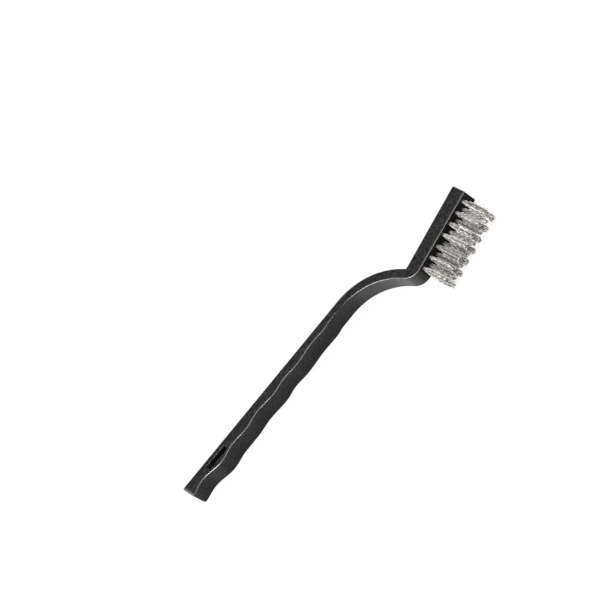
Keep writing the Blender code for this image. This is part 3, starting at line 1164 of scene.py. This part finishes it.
def plastic_material(settings, corner):
    """Moulded black plastic: a soft sheen over fine grain, polished edges, and painted shade in
    the pits and low on the walls.
    """
    material, tree, shader = new_material("black_plastic")
    place = add_node(tree, "ShaderNodeTexCoord")
    slope = split_vector(tree, place.outputs["Normal"])
    spot = split_vector(tree, place.outputs["Object"])
    pits = pit_mask(tree, place, spot, corner)
    mottle = add_group(tree, "surface_mottle", {
        "Color": (*settings.color, 1.0),
        "Tone Drift": 0.2,
        "Roughness": settings.roughness,
        "Roughness Drift": 0.14,
        "Patches per Metre": 260.0,
    })
    grain = add_group(tree, "fine_grain", {
        "Grains per Metre": 1700.0,
        "Waves per Metre": 190.0,
        "Wave Share": 0.4,
    })
    speckle = add_math(tree, "MULTIPLY", grain["Flecks"], 2.0 * settings.speckle)
    speckle = add_math(tree, "ADD", speckle, 1.0 - settings.speckle)
    # Painted shade: the base colour is darkened low on the walls and in the slot and tufted face
    tone = add_math(tree, "MULTIPLY", speckle, painted_shade_mask(tree, slope, spot, pits))
    dullness = add_math(tree, "MULTIPLY", pits, PIT_DULLNESS)
    polish = add_math(tree, "SUBTRACT", edge_mask(tree, slope, spot), pits)
    feed(tree, shader, {
        "Base Color": scale_color(tree, mottle["Color"], tone),
        "Roughness": add_math(tree, "ADD", mottle["Roughness"], dullness),
        "Coat Weight": add_math(tree, "MAXIMUM", polish, 0.0),
        "Coat Roughness": POLISH_ROUGHNESS,
        "Coat IOR": POLISH_IOR,
        "Specular IOR Level": PLASTIC_SPECULAR,
        "Normal": add_bump(tree, grain["Height"], settings.grain_depth),
    })
    return material


def wire_material(settings):
    """Bright drawn steel wire with dark cut ends."""
    material, tree, shader = new_material("steel_wire")
    fields = {}
    for name in WIRE_FIELDS:
        fields[name] = add_node(tree, "ShaderNodeAttribute", attribute_name=name).outputs["Fac"]
    along = fields["wire_along"]
    cut_end = fields["wire_cut"]
    mottle = add_group(tree, "surface_mottle", {
        "Color": (*settings.color, 1.0),
        "Tone Drift": 2.6,
        "Roughness": settings.roughness,
        "Roughness Drift": 0.2,
        "Patches per Metre": 1250.0,
    })
    lines = add_group(tree, "drawn_lines", {
        "Along": add_math(tree, "MULTIPLY_ADD", fields["wire_tone"], LINE_SHIFT, along),
        "Around": fields["wire_around"],
        "Lines": 4.0,
        "Streak": 1.3,
    })
    low, high = WIRE_TONE
    tone = add_math(tree, "MULTIPLY_ADD", fields["wire_tone"], high - low, low)
    streak = add_math(tree, "MULTIPLY", lines["Mask"], STREAK_TONE)
    tone = add_math(tree, "ADD", tone, add_math(tree, "SUBTRACT", streak, STREAK_TONE / 2))
    # Painted shade darkens each wire at its root, and a painted highlight lightens its cut end
    root = map_range(tree, along, ROOT_PAINTED_SHADE, ROOT_TONE)
    cut = map_range(tree, along, CUT_PAINTED_HIGHLIGHT, CUT_TONE)
    fade = add_math(tree, "MULTIPLY_ADD", along, -FADE_PER_MM, FADE_START)
    for change in (root, cut, fade):
        tone = add_math(tree, "MULTIPLY", tone, change)
    tone = add_math(tree, "MAXIMUM", tone, LEAST_TONE)
    bright = scale_color(tree, mottle["Color"], tone)
    feed(tree, shader, {
        "Base Color": add_mix(tree, cut_end, bright, settings.cut_color),
        "Roughness": add_math(tree, "MULTIPLY_ADD", cut_end, CUT_DULLNESS, mottle["Roughness"]),
        "Metallic": WIRE_METALLIC,
        "Normal": add_bump(tree, lines["Height"], WIRE_LINE_DEPTH),
    })
    return material


def anchor_material(settings):
    """Rolled metal strip."""
    material, tree, shader = new_material("anchor_strip")
    spot = split_vector(tree, add_node(tree, "ShaderNodeTexCoord").outputs["Object"])
    lines = add_group(tree, "drawn_lines", {
        "Along": add_math(tree, "DIVIDE", spot["X"], MM),
        "Around": add_math(tree, "DIVIDE", spot["Y"], MM),
        "Lines": 14.0,
        "Streak": 0.5,
    })
    mottle = add_group(tree, "surface_mottle", {
        "Color": (*settings.color, 1.0),
        "Tone Drift": 0.3,
        "Roughness": settings.roughness,
        "Roughness Drift": 0.2,
        "Patches per Metre": 700.0,
    })
    grain = add_group(tree, "fine_grain", {
        "Grains per Metre": 6000.0,
        "Waves per Metre": 800.0,
        "Wave Share": 0.5,
    })
    height = add_math(tree, "ADD", lines["Height"], grain["Height"])
    feed(tree, shader, {
        "Base Color": mottle["Color"],
        "Roughness": mottle["Roughness"],
        "Metallic": 1.0,
        "Normal": add_bump(tree, height, STRIP_LINE_DEPTH),
    })
    return material


def white_background(tree, shaded, surface, settings):
    """White for the camera and for reflections, with a share of the real shading left in each."""
    path = add_node(tree, "ShaderNodeLightPath").outputs
    seen = add_math(tree, "MULTIPLY", path["Is Camera Ray"], 1.0 - settings.shadow_share)
    mirrored = add_math(tree, "MAXIMUM", path["Is Glossy Ray"], path["Is Transmission Ray"])
    mirrored = add_math(tree, "MULTIPLY", mirrored, 1.0 - settings.mirror_share)
    white = add_node(tree, "ShaderNodeEmission", {"Color": WHITE, "Strength": 1.0})
    mix = add_node(tree, "ShaderNodeMixShader", {
        0: add_math(tree, "MAXIMUM", seen, mirrored),
        1: shaded,
        2: white.outputs[0],
    })
    tree.links.new(mix.outputs[0], surface)


def build_floor(settings):
    """Plain pale floor."""
    material, tree, shader = new_material("studio_floor")
    mottle = add_group(tree, "surface_mottle", {
        "Color": (*settings.floor_color, 1.0),
        "Tone Drift": 0.01,
        "Roughness": 0.8,
        "Roughness Drift": 0.1,
        "Patches per Metre": 4.0,
    })
    feed(tree, shader, {
        "Base Color": mottle["Color"],
        "Roughness": mottle["Roughness"],
        "Specular IOR Level": FLOOR_SPECULAR,
    })
    output = next(node for node in tree.nodes if node.type == "OUTPUT_MATERIAL")
    white_background(tree, shader.outputs[0], output.inputs["Surface"], settings)

    shape = bmesh.new()
    bmesh.ops.create_grid(shape, x_segments=1, y_segments=1, size=settings.floor_size / 2)
    floor = add_object("studio_floor", mesh_from_bmesh("studio_floor", shape))
    floor.location.z = CAD_BOX[0].z
    floor.data.materials.append(material)


def build_world(settings):
    """Room: white where it is seen or mirrored, and a plain level of light elsewhere."""
    world = bpy.data.worlds.new("white_room")
    world.use_nodes = True
    bpy.context.scene.world = world
    tree = world.node_tree
    path = add_node(tree, "ShaderNodeLightPath").outputs
    seen = add_math(tree, "MAXIMUM", path["Is Camera Ray"], path["Is Glossy Ray"])
    seen = add_math(tree, "MAXIMUM", seen, path["Is Transmission Ray"])
    extra = add_math(tree, "MULTIPLY", seen, 1.0 - settings.room_light)
    feed(tree, tree.nodes["Background"], {
        "Color": WHITE,
        "Strength": add_math(tree, "ADD", extra, settings.room_light),
    })


def sky_direction(azimuth, elevation):
    """Direction at an angle round from X and an angle above the floor, in degrees."""
    flat = direction(math.radians(azimuth)) * math.cos(math.radians(elevation))
    return Vector((flat.x, flat.y, math.sin(math.radians(elevation))))


def build_lamps(settings):
    """Soft light from the camera's side and from behind the brush, and low strips that only draw
    a line on the edges. Each lamp is turned to the brush."""
    for name, azimuth, elevation, width, height, brightness in LAMPS:
        towards = sky_direction(azimuth, elevation)
        lamp = bpy.data.lights.new(name, "AREA")
        lamp.shape = "RECTANGLE"
        lamp.size = width
        lamp.size_y = height
        lamp.energy = getattr(settings, brightness) * math.pi * width * height
        item = add_object(name, lamp)
        item.location = towards * LAMP_DISTANCE
        item.rotation_euler = towards.to_track_quat("Z", "Y").to_euler()
        item.visible_diffuse = not name.endswith("strip")


def build_camera():
    """Camera at the photograph's viewing angle."""
    back = Vector((
        math.sin(CAMERA_AZIMUTH) * math.cos(CAMERA_ELEVATION),
        -math.cos(CAMERA_AZIMUTH) * math.cos(CAMERA_ELEVATION),
        math.sin(CAMERA_ELEVATION),
    ))
    plain_right = Vector((math.cos(CAMERA_AZIMUTH), math.sin(CAMERA_AZIMUTH), 0.0))
    plain_up = back.cross(plain_right)
    right = plain_right * math.cos(CAMERA_ROLL) + plain_up * math.sin(CAMERA_ROLL)
    up = back.cross(right)
    lens = bpy.data.cameras.new("camera")
    lens.lens = CAMERA_LENS
    lens.sensor_width = CAMERA_SENSOR
    lens.clip_start, lens.clip_end = CAMERA_CLIP
    camera = add_object("camera", lens)
    place = CAMERA_TARGET + back * CAMERA_DISTANCE
    camera.matrix_world = Matrix((
        (right.x, up.x, back.x, place.x),
        (right.y, up.y, back.y, place.y),
        (right.z, up.z, back.z, place.z),
        (0.0, 0.0, 0.0, 1.0),
    ))
    bpy.context.scene.camera = camera


class WIRE_BRUSH_OT_make_handle(bpy.types.Operator):
    """Make the moulded handle and its plastic"""

    bl_idname = "wire_brush.make_handle"
    bl_label = "Make Handle"

    def execute(self, context):
        settings = context.scene.wire_brush_handle
        handle, corner = build_handle(settings)
        handle.data.materials.clear()
        handle.data.materials.append(plastic_material(settings, corner))
        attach(handle, BODY)
        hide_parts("handle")
        return {"FINISHED"}


class WIRE_BRUSH_OT_make_tufts(bpy.types.Operator):
    """Make every tuft of crimped steel wire"""

    bl_idname = "wire_brush.make_tufts"
    bl_label = "Make Tufts"

    def execute(self, context):
        settings = context.scene.wire_brush_tufts
        material = wire_material(settings)
        bundle = bundle_mesh()
        for tag, matrix in tuft_frames():
            tuft = build_tuft(tag, matrix, bundle, settings)
            tuft.data.materials.append(material)
            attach(tuft, BODY)
            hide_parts(f"tuft_{tag}")
        return {"FINISHED"}


class WIRE_BRUSH_OT_finish_anchors(bpy.types.Operator):
    """Give the anchor strips their rolled metal"""

    bl_idname = "wire_brush.finish_anchors"
    bl_label = "Finish Anchors"

    def execute(self, context):
        material = anchor_material(context.scene.wire_brush_anchors)
        for tag, _ in tuft_frames():
            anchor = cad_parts[f"anchor_{tag}"]
            anchor.data.materials.clear()
            anchor.data.materials.append(material)
        return {"FINISHED"}


class WIRE_BRUSH_OT_make_studio(bpy.types.Operator):
    """Make the floor, the light and the camera"""

    bl_idname = "wire_brush.make_studio"
    bl_label = "Make Studio"

    def execute(self, context):
        settings = context.scene.wire_brush_studio
        context.scene.view_settings.view_transform = "Standard"
        build_floor(settings)
        build_world(settings)
        build_lamps(settings)
        build_camera()
        return {"FINISHED"}


class WIRE_BRUSH_PT_panel(bpy.types.Panel):
    """Steps that dress the wire brush"""

    bl_label = "Wire Brush"
    bl_idname = "WIRE_BRUSH_PT_panel"
    bl_space_type = "VIEW_3D"
    bl_region_type = "UI"
    bl_category = "Wire Brush"

    def draw(self, context):
        for group, operator in STEPS:
            box = self.layout.box()
            settings = getattr(context.scene, group)
            for name in settings.bl_rna.properties.keys():
                if name not in {"rna_type", "name"}:
                    box.prop(settings, name)
            box.operator(operator)


STEPS = (
    ("wire_brush_handle", "wire_brush.make_handle"),
    ("wire_brush_tufts", "wire_brush.make_tufts"),
    ("wire_brush_anchors", "wire_brush.finish_anchors"),
    ("wire_brush_studio", "wire_brush.make_studio"),
)
SETTINGS = {
    "wire_brush_handle": HandleSettings,
    "wire_brush_tufts": TuftSettings,
    "wire_brush_anchors": AnchorSettings,
    "wire_brush_studio": StudioSettings,
}
CLASSES = (
    HandleSettings,
    TuftSettings,
    AnchorSettings,
    StudioSettings,
    WIRE_BRUSH_OT_make_handle,
    WIRE_BRUSH_OT_make_tufts,
    WIRE_BRUSH_OT_finish_anchors,
    WIRE_BRUSH_OT_make_studio,
    WIRE_BRUSH_PT_panel,
)


def register():
    """Register the classes and hang the settings on the scene."""
    for item in CLASSES:
        bpy.utils.register_class(item)
    for name, settings in SETTINGS.items():
        setattr(bpy.types.Scene, name, PointerProperty(type=settings))


def unregister():
    """Take the settings and the classes away again."""
    for name in SETTINGS:
        delattr(bpy.types.Scene, name)
    for item in reversed(CLASSES):
        bpy.utils.unregister_class(item)


def main():
    register()
    bpy.ops.wire_brush.make_handle()
    bpy.ops.wire_brush.make_tufts()
    bpy.ops.wire_brush.finish_anchors()
    bpy.ops.wire_brush.make_studio()


if __name__ == "__main__":
    main()
